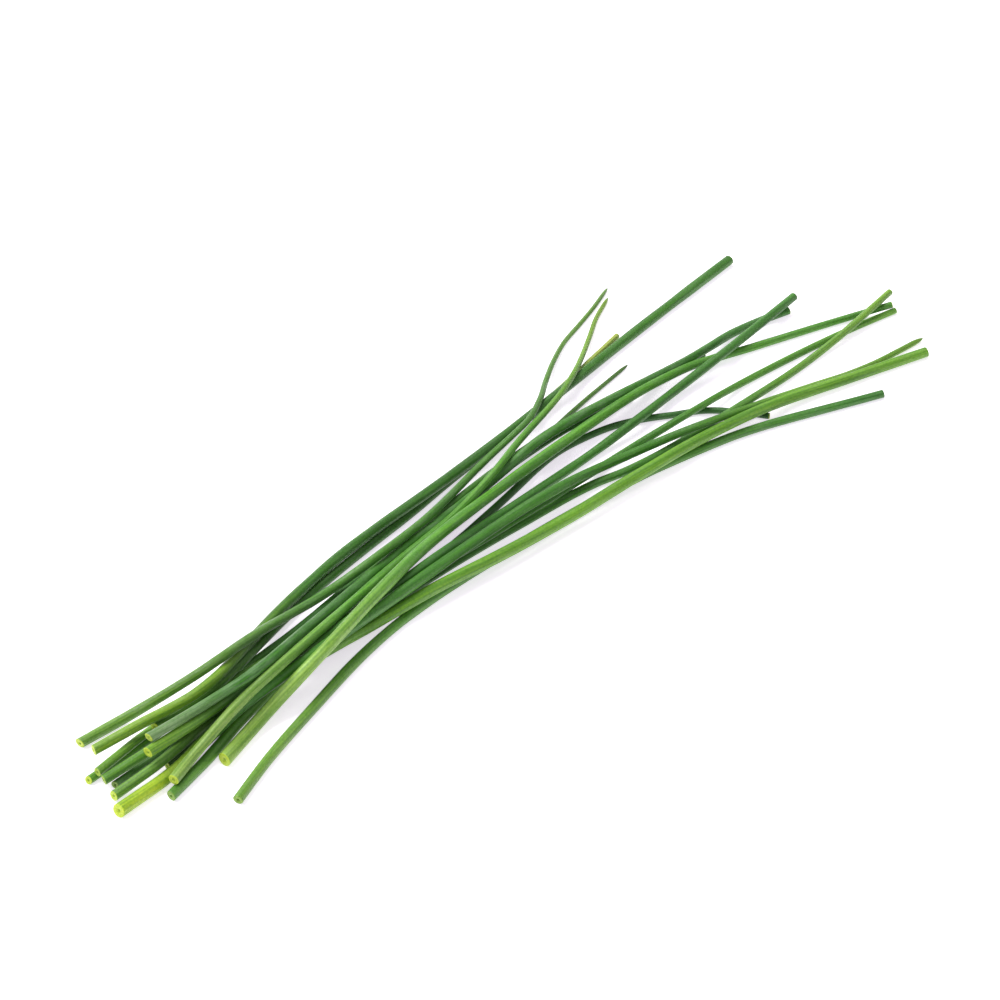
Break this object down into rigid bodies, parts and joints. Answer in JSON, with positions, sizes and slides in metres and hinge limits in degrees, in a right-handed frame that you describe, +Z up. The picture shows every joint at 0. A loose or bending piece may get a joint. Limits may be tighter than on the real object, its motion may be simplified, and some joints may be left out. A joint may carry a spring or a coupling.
{
  "type": "chive bunch",
  "caption": "Loose bunch of long slender hollow chive leaves, cut at one end, crossing over one another as they lie on a flat surface.",
  "frame": {"origin": "middle of the bunch's bounding box in plan, on the surface it lies on", "axes": "+X along the leaves from the cut butts towards the tips, +Z up, +Y to the left when looking along +X"},
  "size_m": [0.2552, 0.0738, 0.0128],
  "materials": {
    "leaf_green_01": "satin",
    "leaf_green_02": "satin",
    "leaf_green_03": "satin",
    "leaf_green_04": "satin",
    "leaf_green_05": "satin",
    "leaf_green_06": "satin",
    "leaf_green_07": "satin",
    "leaf_green_08": "satin",
    "leaf_green_09": "satin",
    "leaf_green_10": "satin",
    "leaf_green_11": "satin",
    "leaf_green_12": "satin",
    "leaf_green_13": "satin",
    "leaf_green_14": "satin",
    "leaf_green_15": "satin",
    "leaf_green_16": "satin"
  },
  "bodies": {
    "root": {"leaf_01": "leaf_green_01", "leaf_02": "leaf_green_02", "leaf_03": "leaf_green_03", "leaf_04": "leaf_green_04", "leaf_05": "leaf_green_05", "leaf_06": "leaf_green_06", "leaf_07": "leaf_green_07", "leaf_08": "leaf_green_08", "leaf_09": "leaf_green_09", "leaf_10": "leaf_green_10", "leaf_11": "leaf_green_11", "leaf_12": "leaf_green_12", "leaf_13": "leaf_green_13", "leaf_14": "leaf_green_14", "leaf_15": "leaf_green_15", "leaf_16": "leaf_green_16"}
  },
  "joints": []
}
